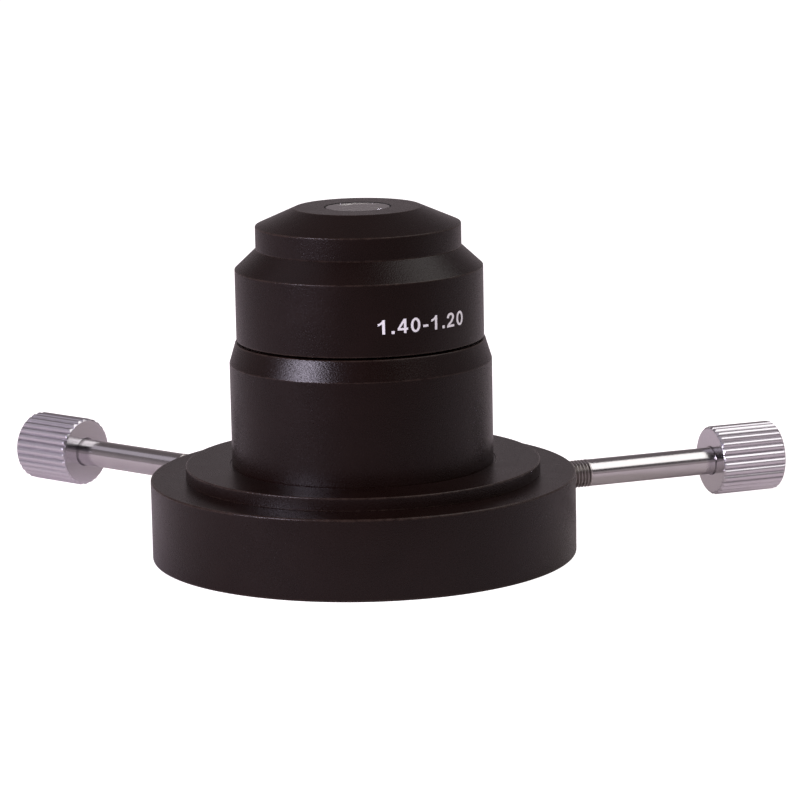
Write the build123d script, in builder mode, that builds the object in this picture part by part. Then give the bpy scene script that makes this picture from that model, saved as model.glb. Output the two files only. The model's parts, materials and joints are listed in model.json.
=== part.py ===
from build123d import *
from math import cos, radians, sin, sqrt, tan
import os

os.makedirs("parts", exist_ok=True)

# Oil-immersion dark-field condenser with two centring screws. Millimetres.
# The frame's origin is on the optical axis, in the plane of the mounting shoulder,
# which is the upper face of the flange. Z runs up the optical axis, Y runs to the
# back along the line that halves the angle between the two screws, X to the right.

# Sleeve and flange, one turning: the sleeve goes up into the carrier of a microscope
sleeve_radius = 18.5
sleeve_wall = 2.6
sleeve_wall_height = 14.55
taper_height = 2.95
taper_width = 0.9
flange_seat_width = 3.1
flange_thickness = 1.85
flange_edge = 0.2
foot_groove_width = 0.35
foot_groove_depth = 0.12
register_depth = 0.75

# Barrel: a tube that carries the head, with a collar that the screws push at half its height
travel_clearance = 1.9
barrel_wall = 2.0
barrel_grip = 5.0
collar_width = 5.0
collar_edge = 0.3

# Mount ring, the wide ring that the condenser stands on
collar_play = 3.0
ring_wall = 8.1
ring_height = 11.4
ring_edge = 0.35

# Head above the sleeve: wall, then a slope up to the cell that holds the glass
head_gap = 0.3
head_inset = 1.05
head_wall_height = 10.0
head_slope_height = 2.8
head_edge = 0.15
head_land_thickness = 1.4
head_land_width = 2.0

# Lens cell and the glass in it
lens_top_radius = 4.5
lens_top_height = 0.6
lens_rim_inset = 1.0
lens_rim_height = 1.2
lens_height = 7.15
lens_side_bulge = 0.9
mirror_radius = 3.4
mirror_rise = 1.1
mirror_lens_height = 2.95
cell_wall = 2.0
cell_shoulder_width = 1.4
cell_height = 3.2
cone_height = 2.45
top_land_width = 4.4
lens_retainer_height = 1.5
lens_retainer_width = 2.0
spanner_slot_width = 1.0
spanner_slot_depth = 0.7
spanner_slot_count = 2
centre_stop_radius = 4.2
centre_stop_thickness = 0.3
cement_gap = 0.05

# Annular stop in the foot of the barrel
stop_rim_width = 0.6
stop_thickness = 0.8
stop_slot_inset = 2.0
stop_slot_width = 3.0
stop_web_width = 2.2
stop_web_count = 3
stop_ring_thickness = 0.8
stop_ring_width = 1.2

# Slip washer under the collar, and the retainer plate that closes the ring
washer_thickness = 0.5
washer_play = 1.4
washer_bore_gap = 1.2
retainer_thickness = 2.5
retainer_seat_width = 4.0
retainer_bore_gap = 0.5
retainer_bore_chamfer = 0.8

# Countersunk clamp screws, through plate and ring into the flange
clamp_screw_radius = 0.8
clamp_head_radius = 1.6
clamp_head_angle = 90.0
clamp_inset = 1.6
clamp_screw_count = 3
clamp_first_angle = 90.0
clamp_grip = 1.2
clamp_slot_width = 0.4
clamp_slot_depth = 0.35

# Centring screws: swivel pad, dog point, thread, plain shank and fluted knob
screw_angles = {"right": 30.0, "left": 150.0}
screw_depth = 3.25
pad_radius = 1.6
pad_length = 2.0
dog_radius = 0.8
dog_length = 1.2
thread_radius = 2.0
thread_length = 13.75
shank_radius = 1.96
shank_length = 19.5
shank_grip = 6.0
knob_radius = 5.03
knob_length = 10.0
knob_edge = 0.3
knob_mouth_chamfer = 0.35
flute_count = 28
flute_depth = 0.35

# Bow spring that presses the collar back against both pads
spring_thickness = 0.3
spring_end_gap = 0.45
spring_half_angle = 27.0
spring_curl_radius = 0.75
spring_curl_turn = 225.0
spring_notch_depth = 0.3

# Clearances
running_gap = 0.05
thread_clearance = 0.05
seat_clearance = 0.02
pad_gap = 0.1
screw_clearance = 0.05

# Radii worked out from the sleeve inwards to the barrel, then out again to the ring
sleeve_bore_radius = sleeve_radius - sleeve_wall
barrel_radius = sleeve_bore_radius - travel_clearance
barrel_bore_radius = barrel_radius - barrel_wall
collar_radius = barrel_radius + collar_width
ring_bore_radius = collar_radius + collar_play
ring_radius = ring_bore_radius + ring_wall
flange_radius = ring_bore_radius + flange_seat_width
retainer_radius = ring_bore_radius + retainer_seat_width
clamp_circle_radius = ring_bore_radius + clamp_inset
stop_radius = barrel_radius - stop_rim_width
stop_slot_outer_radius = barrel_bore_radius - stop_slot_inset
stop_slot_inner_radius = stop_slot_outer_radius - stop_slot_width
retainer_bore_radius = stop_radius + retainer_bore_gap
washer_bore_radius = stop_radius + washer_bore_gap
washer_radius = ring_bore_radius - washer_play
head_radius = sleeve_radius - head_inset
lens_rim_radius = barrel_bore_radius - lens_rim_inset
cell_bore_radius = lens_rim_radius + cement_gap
cell_skirt_radius = cell_bore_radius + cell_wall
cell_radius = cell_skirt_radius + cell_shoulder_width
top_radius = lens_top_radius + top_land_width

# Heights worked out from the mounting shoulder up and down
ring_top = -flange_thickness
ring_bottom = ring_top - ring_height
register_bottom = ring_top - register_depth
screw_z = ring_top - screw_depth
sleeve_top = sleeve_wall_height + taper_height
head_bottom = sleeve_top + head_gap
head_wall_top = head_bottom + head_wall_height
cell_seat = head_wall_top + head_slope_height
cone_bottom = cell_seat + cell_height
condenser_top = cone_bottom + cone_height
collar_top = register_bottom - running_gap
collar_height = 2 * (collar_top - screw_z)
collar_bottom = collar_top - collar_height
spring_height = collar_height - 2 * spring_end_gap
washer_bottom = collar_bottom - running_gap - washer_thickness
retainer_top = washer_bottom - running_gap
retainer_bottom = retainer_top - retainer_thickness
barrel_top = head_bottom + barrel_grip

# Mount ring: turned from bar, bored through, with a seat below for the retainer plate
with BuildPart() as mount_ring:
    with BuildSketch(Plane.XY.offset(ring_bottom)):
        Circle(ring_radius)
        Circle(ring_bore_radius, mode=Mode.SUBTRACT)
    extrude(amount=ring_height)
    rims = mount_ring.edges().filter_by(GeomType.CIRCLE).sort_by(SortBy.RADIUS)
    chamfer(rims[-2:], ring_edge)
    with BuildSketch(Plane.XY.offset(ring_bottom)):
        Circle(retainer_radius + seat_clearance)
    extrude(amount=retainer_top - ring_bottom, mode=Mode.SUBTRACT)
    # one tapped hole for each centring screw, from the bore out through the wall
    for angle in screw_angles.values():
        with BuildSketch(Plane(origin=(0, 0, screw_z), z_dir=(cos(radians(angle)), sin(radians(angle)), 0))):
            Circle(thread_radius + thread_clearance)
        extrude(amount=ring_radius + ring_edge, mode=Mode.SUBTRACT)
    with BuildSketch(Plane.XY.offset(ring_bottom)):
        with PolarLocations(clamp_circle_radius, clamp_screw_count, start_angle=clamp_first_angle):
            Circle(clamp_screw_radius + screw_clearance)
    extrude(amount=ring_height, mode=Mode.SUBTRACT)
    # two upright notches in the bore seat the curled ends of the bow spring
    notch_centre_radius = ring_bore_radius + spring_notch_depth - spring_curl_radius
    notch_centre_radius -= spring_thickness / 2 + running_gap
    notch_radius = spring_curl_radius + spring_thickness / 2 + running_gap
    notch_height = spring_height + 2 * running_gap
    with BuildSketch(Plane.XY.offset(screw_z - notch_height / 2)):
        for turn in (-spring_half_angle, spring_half_angle):
            notch_x = notch_centre_radius * sin(radians(turn))
            notch_y = -notch_centre_radius * cos(radians(turn))
            with Locations((notch_x, notch_y)):
                Circle(notch_radius)
    extrude(amount=notch_height, mode=Mode.SUBTRACT)
mount_ring.part.label = "mount_ring"
export_step(mount_ring.part, "parts/mount_ring.step")

# Carrier sleeve: one turning with its flange, centred in the ring's bore by a low register.
# A narrow groove round its foot lets the carrier sit flat on the flange.
with BuildPart() as carrier_sleeve:
    with BuildSketch(Plane.XZ):
        with BuildLine():
            Polyline(
                (sleeve_bore_radius, register_bottom),
                (ring_bore_radius - seat_clearance, register_bottom),
                (ring_bore_radius - seat_clearance, ring_top),
                (flange_radius - flange_edge, ring_top),
                (flange_radius, ring_top + flange_edge),
                (flange_radius, -flange_edge),
                (flange_radius - flange_edge, 0),
                (sleeve_radius + foot_groove_width, 0),
                (sleeve_radius + foot_groove_width, -foot_groove_depth),
                (sleeve_radius, -foot_groove_depth),
                (sleeve_radius, sleeve_wall_height),
                (sleeve_radius - taper_width, sleeve_top),
                (sleeve_bore_radius, sleeve_top),
                close=True,
            )
        make_face()
    revolve(axis=Axis.Z)
    with BuildSketch(Plane.XY.offset(ring_top)):
        with PolarLocations(clamp_circle_radius, clamp_screw_count, start_angle=clamp_first_angle):
            Circle(clamp_screw_radius + screw_clearance)
    extrude(amount=clamp_grip + screw_clearance, mode=Mode.SUBTRACT)
carrier_sleeve.part.label = "carrier_sleeve"
export_step(carrier_sleeve.part, "parts/carrier_sleeve.step")

# Retainer plate: holds the collar up from below, its bore lets the light in
with BuildPart() as retainer_plate:
    with BuildSketch(Plane.XY.offset(retainer_bottom)):
        Circle(retainer_radius)
        Circle(retainer_bore_radius, mode=Mode.SUBTRACT)
    extrude(amount=retainer_thickness)
    bore_mouth = retainer_plate.edges().filter_by(GeomType.CIRCLE).group_by(Axis.Z)[0]
    chamfer(bore_mouth.sort_by(SortBy.RADIUS)[0], retainer_bore_chamfer)
    with Locations(Plane(origin=(0, 0, retainer_bottom), x_dir=(1, 0, 0), z_dir=(0, 0, -1))):
        with PolarLocations(clamp_circle_radius, clamp_screw_count, start_angle=-clamp_first_angle):
            CounterSinkHole(
                clamp_screw_radius + screw_clearance,
                clamp_head_radius + screw_clearance,
                counter_sink_angle=clamp_head_angle,
            )
retainer_plate.part.label = "retainer_plate"
export_step(retainer_plate.part, "parts/retainer_plate.step")

# Clamp screws: countersunk, flush with the plate, with a slot for the screwdriver
clamp_top = ring_top + clamp_grip
clamp_head_height = (clamp_head_radius - clamp_screw_radius) / tan(radians(clamp_head_angle / 2))
with BuildPart() as clamp_screws:
    with PolarLocations(clamp_circle_radius, clamp_screw_count, start_angle=clamp_first_angle):
        with Locations((0, 0, retainer_bottom)):
            Cylinder(
                clamp_screw_radius,
                clamp_top - retainer_bottom,
                align=(Align.CENTER, Align.CENTER, Align.MIN),
            )
            Cone(
                clamp_head_radius,
                clamp_screw_radius,
                clamp_head_height,
                align=(Align.CENTER, Align.CENTER, Align.MIN),
            )
            Box(
                2 * clamp_head_radius,
                clamp_slot_width,
                clamp_slot_depth,
                align=(Align.CENTER, Align.CENTER, Align.MIN),
                mode=Mode.SUBTRACT,
            )
clamp_screws.part.label = "clamp_screws"
export_step(clamp_screws.part, "parts/clamp_screws.step")

# Slip washer: the collar slides on it one way, and it slides on the plate the other way
with BuildPart() as slip_washer:
    with BuildSketch(Plane.XY.offset(washer_bottom)):
        Circle(washer_radius)
        Circle(washer_bore_radius, mode=Mode.SUBTRACT)
    extrude(amount=washer_thickness)
slip_washer.part.label = "slip_washer"
export_step(slip_washer.part, "parts/slip_washer.step")

# Barrel: tube and collar in one turning, with a stepped seat for the stop in its foot
stop_seat_radius = stop_radius + seat_clearance
stop_seat_top = collar_bottom + stop_ring_thickness + stop_thickness
with BuildPart() as barrel:
    with BuildSketch(Plane.XZ):
        with BuildLine():
            Polyline(
                (stop_seat_radius, collar_bottom),
                (collar_radius - collar_edge, collar_bottom),
                (collar_radius, collar_bottom + collar_edge),
                (collar_radius, collar_top - collar_edge),
                (collar_radius - collar_edge, collar_top),
                (barrel_radius, collar_top),
                (barrel_radius, barrel_top),
                (barrel_bore_radius, barrel_top),
                (barrel_bore_radius, stop_seat_top),
                (stop_seat_radius, stop_seat_top),
                close=True,
            )
        make_face()
    revolve(axis=Axis.Z)
barrel.part.label = "barrel"
export_step(barrel.part, "parts/barrel.step")

# Annular stop: a blackened disc whose ring of slots lets only the outer rays through
with BuildPart() as annular_stop:
    with BuildSketch(Plane.XY.offset(stop_seat_top - stop_thickness)) as stop_outline:
        Circle(stop_radius)
        with BuildSketch(mode=Mode.PRIVATE) as ring_slot:
            Circle(stop_slot_outer_radius)
            Circle(stop_slot_inner_radius, mode=Mode.SUBTRACT)
            with PolarLocations(0, stop_web_count, start_angle=clamp_first_angle):
                Rectangle(
                    stop_slot_outer_radius + stop_web_width,
                    stop_web_width,
                    align=(Align.MIN, Align.CENTER),
                    mode=Mode.SUBTRACT,
                )
        add(ring_slot.sketch, mode=Mode.SUBTRACT)
    extrude(amount=stop_thickness)
annular_stop.part.label = "annular_stop"
export_step(annular_stop.part, "parts/annular_stop.step")

# Stop ring: screwed in under the stop, flush with the foot of the barrel
with BuildPart() as stop_ring:
    with BuildSketch(Plane.XY.offset(collar_bottom)):
        Circle(stop_radius)
        Circle(stop_radius - stop_ring_width, mode=Mode.SUBTRACT)
        with PolarLocations(stop_radius, spanner_slot_count):
            Rectangle(2 * spanner_slot_depth, spanner_slot_width, mode=Mode.SUBTRACT)
    extrude(amount=stop_ring_thickness)
stop_ring.part.label = "stop_ring"
export_step(stop_ring.part, "parts/stop_ring.step")

# Lens cell: nose and cone outside, the lens seat inside, a threaded skirt down into the head
lens_top = condenser_top - cement_gap
lens_bottom = lens_top - lens_height
lens_side_top = lens_top - lens_top_height
lens_side_bottom = lens_bottom + lens_rim_height
mirror_lens_bottom = lens_bottom - cement_gap - mirror_lens_height
cell_bottom = mirror_lens_bottom - lens_retainer_height
side_run = lens_rim_radius - lens_top_radius
side_fall = lens_side_top - lens_side_bottom
side_length = sqrt(side_run**2 + side_fall**2)
side_middle = (
    (lens_rim_radius + lens_top_radius) / 2 + lens_side_bulge * side_fall / side_length,
    (lens_side_top + lens_side_bottom) / 2 + lens_side_bulge * side_run / side_length,
)
with BuildPart() as lens_cell:
    with BuildSketch(Plane.XZ):
        with BuildLine():
            Polyline(
                (lens_top_radius + cement_gap, lens_side_top + cement_gap),
                (lens_top_radius + cement_gap, condenser_top),
                (top_radius, condenser_top),
                (cell_radius, cone_bottom),
                (cell_radius, cell_seat),
                (cell_skirt_radius, cell_seat),
                (cell_skirt_radius, cell_bottom),
                (cell_bore_radius, cell_bottom),
                (cell_bore_radius, lens_side_bottom + cement_gap),
            )
            ThreePointArc(
                (cell_bore_radius, lens_side_bottom + cement_gap),
                (side_middle[0] + cement_gap, side_middle[1] + cement_gap),
                (lens_top_radius + cement_gap, lens_side_top + cement_gap),
            )
        make_face()
    revolve(axis=Axis.Z)
lens_cell.part.label = "lens_cell"
export_step(lens_cell.part, "parts/lens_cell.step")

# Front element: flat oiled face on top, silvered curved side, hollow below for the mirror
mirror_sphere_radius = (mirror_radius**2 + mirror_rise**2) / (2 * mirror_rise)
with BuildPart() as front_lens:
    with BuildSketch(Plane.XZ):
        with BuildLine():
            Polyline(
                (lens_rim_radius, lens_side_bottom),
                (lens_rim_radius, lens_bottom),
                (mirror_radius, lens_bottom),
            )
            RadiusArc((mirror_radius, lens_bottom), (0, lens_bottom + mirror_rise), -mirror_sphere_radius)
            Polyline(
                (0, lens_bottom + mirror_rise),
                (0, lens_top),
                (lens_top_radius, lens_top),
                (lens_top_radius, lens_side_top),
            )
            ThreePointArc((lens_top_radius, lens_side_top), side_middle, (lens_rim_radius, lens_side_bottom))
        make_face()
    revolve(axis=Axis.Z)
front_lens.part.label = "front_lens"
export_step(front_lens.part, "parts/front_lens.step")

# Mirror element: a glass disc whose silvered dome throws the light out to the curved side
dome_radius = mirror_sphere_radius - cement_gap
dome_centre = lens_bottom + mirror_rise - mirror_sphere_radius
dome_foot = sqrt(dome_radius**2 - (lens_bottom - cement_gap - dome_centre) ** 2)
with BuildPart() as mirror_lens:
    with BuildSketch(Plane.XZ):
        with BuildLine():
            Polyline(
                (0, dome_centre + dome_radius),
                (0, mirror_lens_bottom),
                (lens_rim_radius, mirror_lens_bottom),
                (lens_rim_radius, lens_bottom - cement_gap),
                (dome_foot, lens_bottom - cement_gap),
            )
            RadiusArc((dome_foot, lens_bottom - cement_gap), (0, dome_centre + dome_radius), -dome_radius)
        make_face()
    revolve(axis=Axis.Z)
mirror_lens.part.label = "mirror_lens"
export_step(mirror_lens.part, "parts/mirror_lens.step")

# Centre stop: a black disc cemented under the mirror element, it blocks the direct light
with BuildPart() as centre_stop:
    with BuildSketch(Plane.XY.offset(mirror_lens_bottom - centre_stop_thickness)):
        Circle(centre_stop_radius)
    extrude(amount=centre_stop_thickness)
centre_stop.part.label = "centre_stop"
export_step(centre_stop.part, "parts/centre_stop.step")

# Lens retainer: a threaded ring with two spanner slots that holds the glass up in its cell
with BuildPart() as lens_retainer:
    with BuildSketch(Plane.XY.offset(cell_bottom)):
        Circle(lens_rim_radius)
        Circle(lens_rim_radius - lens_retainer_width, mode=Mode.SUBTRACT)
    extrude(amount=lens_retainer_height)
    with BuildSketch(Plane.XY.offset(cell_bottom)):
        Rectangle(2 * lens_rim_radius, spanner_slot_width)
    extrude(amount=spanner_slot_depth, mode=Mode.SUBTRACT)
lens_retainer.part.label = "lens_retainer"
export_step(lens_retainer.part, "parts/lens_retainer.step")

# Head: screwed onto the top of the barrel, it takes the skirt of the lens cell from above
head_land_bottom = barrel_top
head_land_top = head_land_bottom + head_land_thickness
with BuildPart() as head:
    with BuildSketch(Plane.XZ):
        with BuildLine():
            Polyline(
                (barrel_radius + seat_clearance, head_bottom),
                (head_radius - head_edge, head_bottom),
                (head_radius, head_bottom + head_edge),
                (head_radius, head_wall_top),
                (cell_radius, cell_seat),
                (cell_skirt_radius + seat_clearance, cell_seat),
                (cell_skirt_radius + seat_clearance, head_land_top),
                (cell_skirt_radius - head_land_width, head_land_top),
                (cell_skirt_radius - head_land_width, head_land_bottom),
                (barrel_radius + seat_clearance, head_land_bottom),
                close=True,
            )
        make_face()
    revolve(axis=Axis.Z)
head.part.label = "head"
export_step(head.part, "parts/head.step")

# Bow spring: a strip of spring steel on edge, its curled ends in the notches of the ring
spring_line_depth = collar_radius + pad_gap + spring_thickness / 2
curl_x = notch_centre_radius * sin(radians(spring_half_angle))
curl_y = -notch_centre_radius * cos(radians(spring_half_angle))
with BuildPart() as bow_spring:
    with BuildSketch(Plane.XY.offset(screw_z - spring_height / 2)):
        with BuildLine() as strip_line:
            ThreePointArc(
                (-curl_x, curl_y + spring_curl_radius),
                (0, -spring_line_depth),
                (curl_x, curl_y + spring_curl_radius),
            )
            CenterArc((curl_x, curl_y), spring_curl_radius, 90, -spring_curl_turn)
            CenterArc((-curl_x, curl_y), spring_curl_radius, 90, spring_curl_turn)
        trace(line_width=spring_thickness)
    extrude(amount=spring_height)
bow_spring.part.label = "bow_spring"
export_step(bow_spring.part, "parts/bow_spring.step")

# Each side has the same screw, knob and pad, laid along its own line out from the axis
pad_start = collar_radius + pad_gap
pad_end = pad_start + pad_length
socket_depth = dog_length + running_gap
thread_start = pad_end + running_gap
shank_start = thread_start + thread_length
knob_start = shank_start + shank_length
for side, angle in screw_angles.items():
    outward = Vector(cos(radians(angle)), sin(radians(angle)), 0)
    screw_plane = Plane(origin=(0, 0, screw_z), z_dir=outward)

    # Thrust pad: brass, flat against the collar, it turns on the dog point of the screw
    with BuildPart() as pad:
        with BuildSketch(screw_plane.offset(pad_start)):
            Circle(pad_radius)
        extrude(amount=pad_length)
        with BuildSketch(screw_plane.offset(pad_end)):
            Circle(dog_radius + running_gap)
        extrude(amount=-socket_depth, mode=Mode.SUBTRACT)
    pad.part.label = f"thrust_pad_{side}"
    export_step(pad.part, f"parts/thrust_pad_{side}.step")

    # Centring screw: dog point, thread and plain shank turned in one piece
    with BuildPart() as screw:
        with BuildSketch(screw_plane.offset(thread_start - dog_length)):
            Circle(dog_radius)
        extrude(amount=dog_length)
        with BuildSketch(screw_plane.offset(thread_start)):
            Circle(thread_radius)
        extrude(amount=shank_start - thread_start)
        with BuildSketch(screw_plane.offset(shank_start)):
            Circle(shank_radius)
        extrude(amount=knob_start + shank_grip - shank_start)
    screw.part.label = f"centring_screw_{side}"
    export_step(screw.part, f"parts/centring_screw_{side}.step")

    # Knob: aluminium, pressed on the shank, with straight square-cornered flutes cut all round
    with BuildPart() as knob:
        with BuildSketch(screw_plane.offset(knob_start)):
            Circle(knob_radius)
        extrude(amount=knob_length)
        chamfer(knob.edges().filter_by(GeomType.CIRCLE), knob_edge)
        with BuildSketch(screw_plane.offset(knob_start)):
            Circle(shank_radius + seat_clearance)
        extrude(amount=shank_grip + seat_clearance, mode=Mode.SUBTRACT)
        bore_rims = knob.edges().filter_by(GeomType.CIRCLE).sort_by(SortBy.RADIUS)[:2]
        mouth = bore_rims.sort_by(lambda edge: edge.arc_center.length)[0]
        chamfer(mouth, knob_mouth_chamfer)
        with BuildSketch(screw_plane.offset(knob_start)):
            with PolarLocations(knob_radius, flute_count):
                RegularPolygon(flute_depth, 4)
        extrude(amount=knob_length, mode=Mode.SUBTRACT)
    knob.part.label = f"knob_{side}"
    export_step(knob.part, f"parts/knob_{side}.step")
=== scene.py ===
import json
from math import atan2, ceil, cos, pi, radians, sin, tan

import bmesh
import bpy
from mathutils import Matrix, Vector


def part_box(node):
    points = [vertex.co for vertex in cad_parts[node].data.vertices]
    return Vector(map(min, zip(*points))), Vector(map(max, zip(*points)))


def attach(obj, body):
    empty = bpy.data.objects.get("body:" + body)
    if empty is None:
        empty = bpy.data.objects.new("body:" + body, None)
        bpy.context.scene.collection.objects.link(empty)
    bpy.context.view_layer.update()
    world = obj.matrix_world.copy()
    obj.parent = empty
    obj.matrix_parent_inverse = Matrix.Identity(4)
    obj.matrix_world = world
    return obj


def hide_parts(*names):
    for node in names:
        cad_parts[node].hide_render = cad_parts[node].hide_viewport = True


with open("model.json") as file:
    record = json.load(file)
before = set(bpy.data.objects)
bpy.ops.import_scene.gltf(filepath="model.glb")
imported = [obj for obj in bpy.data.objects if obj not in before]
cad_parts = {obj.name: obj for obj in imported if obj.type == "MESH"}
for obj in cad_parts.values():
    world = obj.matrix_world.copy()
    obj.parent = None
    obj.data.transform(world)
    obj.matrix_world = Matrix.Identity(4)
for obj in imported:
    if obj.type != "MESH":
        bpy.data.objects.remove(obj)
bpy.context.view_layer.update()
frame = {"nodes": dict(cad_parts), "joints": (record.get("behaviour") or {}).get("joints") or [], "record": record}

# Studio. The condenser stands on a pale table before a white backdrop, and the camera half
# a metre away, a little above it. A large soft box hangs high on the right, a small strong
# one stands low on the left, two weaker lamps fill in, and the walls are grey.
mm = 0.001
camera_azimuth = radians(9.85)
camera_distance = 510.71 * mm
camera_height = 107.0 * mm
camera_pan = radians(0.607)
camera_pitch = radians(10.91)
camera_roll = radians(-1.108)
camera_lens = 165.7

to_camera = Vector((sin(camera_azimuth), -cos(camera_azimuth), 0))
camera_right = Vector((cos(camera_azimuth), sin(camera_azimuth), 0))


def aim_camera():
    """The camera where the photograph was taken from, panned, pitched and rolled a little."""
    level = to_camera * -cos(camera_pan) + camera_right * sin(camera_pan)
    ahead = level * cos(camera_pitch) - Vector((0, 0, sin(camera_pitch)))
    across = camera_right * cos(camera_pan) + to_camera * sin(camera_pan)
    upward = across.cross(ahead)
    right = across * cos(camera_roll) + upward * sin(camera_roll)
    up = upward * cos(camera_roll) - across * sin(camera_roll)
    data = bpy.data.cameras.new("camera")
    data.lens = camera_lens
    data.sensor_width = 36
    data.clip_start = 0.01
    camera = bpy.data.objects.new("camera", data)
    bpy.context.scene.collection.objects.link(camera)
    turn = Matrix((right, up, -ahead)).transposed().to_4x4()
    spot = to_camera * camera_distance + Vector((0, 0, camera_height))
    camera.matrix_world = Matrix.Translation(spot) @ turn
    bpy.context.scene.camera = camera


def studio_direction(azimuth, elevation):
    """Unit vector from the condenser, azimuth in degrees to the right of the camera."""
    level = to_camera * cos(radians(azimuth)) + camera_right * sin(radians(azimuth))
    return level * cos(radians(elevation)) + Vector((0, 0, sin(radians(elevation))))


def soft_box(name, azimuth, elevation, distance, width, height, radiance, colour, mirrored=True):
    """A rectangular lamp that faces the condenser, as bright per area as radiance says."""
    data = bpy.data.lights.new(name, "AREA")
    data.shape = "RECTANGLE"
    data.size = width
    data.size_y = height
    data.energy = radiance * pi * width * height
    data.color = colour
    lamp = bpy.data.objects.new(name, data)
    bpy.context.scene.collection.objects.link(lamp)
    direction = studio_direction(azimuth, elevation)
    lamp.location = direction * distance
    lamp.rotation_mode = "QUATERNION"
    lamp.rotation_quaternion = direction.to_track_quat("Z", "Y")
    lamp.visible_camera = False
    lamp.visible_glossy = mirrored


class Value:
    """A number in a node tree: sums, products and the like of such values add Math nodes."""

    def __init__(self, tree, output):
        self.tree = tree
        self.output = output

    def math(self, operation, *terms):
        return self.tree.add("ShaderNodeMath", {"operation": operation}, dict(enumerate(terms)))

    def __add__(self, other):
        return self.math("ADD", self, other)

    def __sub__(self, other):
        return self.math("SUBTRACT", self, other)

    def __mul__(self, other):
        return self.math("MULTIPLY", self, other)

    def __truediv__(self, other):
        return self.math("DIVIDE", self, other)

    def __radd__(self, other):
        return self.math("ADD", other, self)

    def __rsub__(self, other):
        return self.math("SUBTRACT", other, self)

    def __rmul__(self, other):
        return self.math("MULTIPLY", other, self)

    def __rtruediv__(self, other):
        return self.math("DIVIDE", other, self)

    def __abs__(self):
        return self.math("ABSOLUTE", self)

    def clamped(self):
        return self.math("MINIMUM", self.math("MAXIMUM", self, 0.0), 1.0)


class NodeTree:
    """A node tree that is written as expressions, for materials, the world and geometry."""

    def __init__(self, tree):
        self.tree = tree

    @staticmethod
    def pick(sockets, key):
        named = [s for s in sockets if s.identifier == key]
        return named[0] if named else sockets[key]

    def add(self, kind, settings=None, sockets=None, out=0):
        """A node: its settings first, then the values or links of its sockets."""
        node = self.tree.nodes.new(kind)
        for name, setting in (settings or {}).items():
            setattr(node, name, setting)
        for key, term in (sockets or {}).items():
            self.plug(self.pick(node.inputs, key), term)
        return Value(self, self.pick(node.outputs, out)) if node.outputs else node

    def plug(self, socket, term):
        if isinstance(term, Value):
            self.tree.links.new(term.output, socket)
        else:
            socket.default_value = term

    def dot(self, first, second):
        settings = {"operation": "DOT_PRODUCT"}
        return self.add("ShaderNodeVectorMath", settings, {0: first, 1: second}, "Value")

    def length(self, vector):
        return self.add("ShaderNodeVectorMath", {"operation": "LENGTH"}, {0: vector}, "Value")

    def mix(self, share, first, second):
        """A colour between two colours."""
        sockets = {"Factor_Float": share, "A_Color": first, "B_Color": second}
        return self.add("ShaderNodeMix", {"data_type": "RGBA"}, sockets, "Result_Color")


def light_world():
    """White to the camera; in reflections grey walls, darker above, darkest over the camera."""
    ceiling_start = 0.1
    ceiling_slope = 2.2
    right_gain = 0.04
    cloth_side = 0.45
    cloth_foot = 0.18
    cloth_dark = 0.85
    world = bpy.data.worlds.new("studio")
    bpy.context.scene.world = world
    world.use_nodes = True
    world.node_tree.nodes.clear()
    tree = NodeTree(world.node_tree)
    seen = tree.add("ShaderNodeLightPath", out="Is Camera Ray")
    direction = tree.add("ShaderNodeTexCoord", out="Generated")
    toward = tree.dot(direction, to_camera)
    right = tree.dot(direction, camera_right)
    up = tree.dot(direction, Vector((0, 0, 1)))
    raised = ((up - ceiling_start) * ceiling_slope).clamped()
    wall = wall_level + right * right_gain - raised * (wall_level - ceiling_level)
    cloth = ((toward - cloth_side) * 4).clamped() * ((up - cloth_foot) * 8).clamped()
    level = wall * (1 - cloth * cloth_dark)
    colour = tree.mix(seen, studio_tint, (1, 1, 1, 1))
    strength = seen + (1 - seen) * level
    background = tree.add("ShaderNodeBackground", None, {"Color": colour, "Strength": strength})
    tree.add("ShaderNodeOutputWorld", None, {"Surface": background})


wall_level = 0.36
ceiling_level = 0.17
studio_tint = (1.0, 0.86, 0.91, 1)
bpy.context.scene.view_settings.view_transform = "Standard"
aim_camera()
light_world()
soft_box("window_left", -52, 20, 0.7, 0.28, 0.15, 36.0, (0.88, 0.81, 1.0))
soft_box("window_above_left", -98, 52, 0.7, 0.5, 0.5, 0.42, (0.92, 0.86, 1.0))
soft_box("soft_box_right", 76, 52, 0.7, 0.9, 0.46, 1.6, (1.0, 0.985, 0.97))
soft_box("fill", 0, 45, 0.9, 0.9, 0.7, 1.6, (1.0, 0.94, 0.94), mirrored=False)

# Table top: a wide matt board. In reflections and in the light it throws back, its colour
# darkens towards the camera: painted shade, where the studio's light would fall off. It is
# pale to the camera wherever no shadow falls on it. It is clear from below and clear right
# under the ring, so that a camera that looks up sees the underside of the condenser with
# light on it.
table_reach = 1.5
table_gap = 0.02 * mm
table_grey = (0.66, 0.60, 0.61, 1)
painted_front_shade = (0.26, 0.22, 0.22, 1)
dark_start = 45 * mm
dark_reach = 70 * mm
pale_glow = 0.9
clear_from = 14.0 * mm
clear_inset = 0.3 * mm


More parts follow.
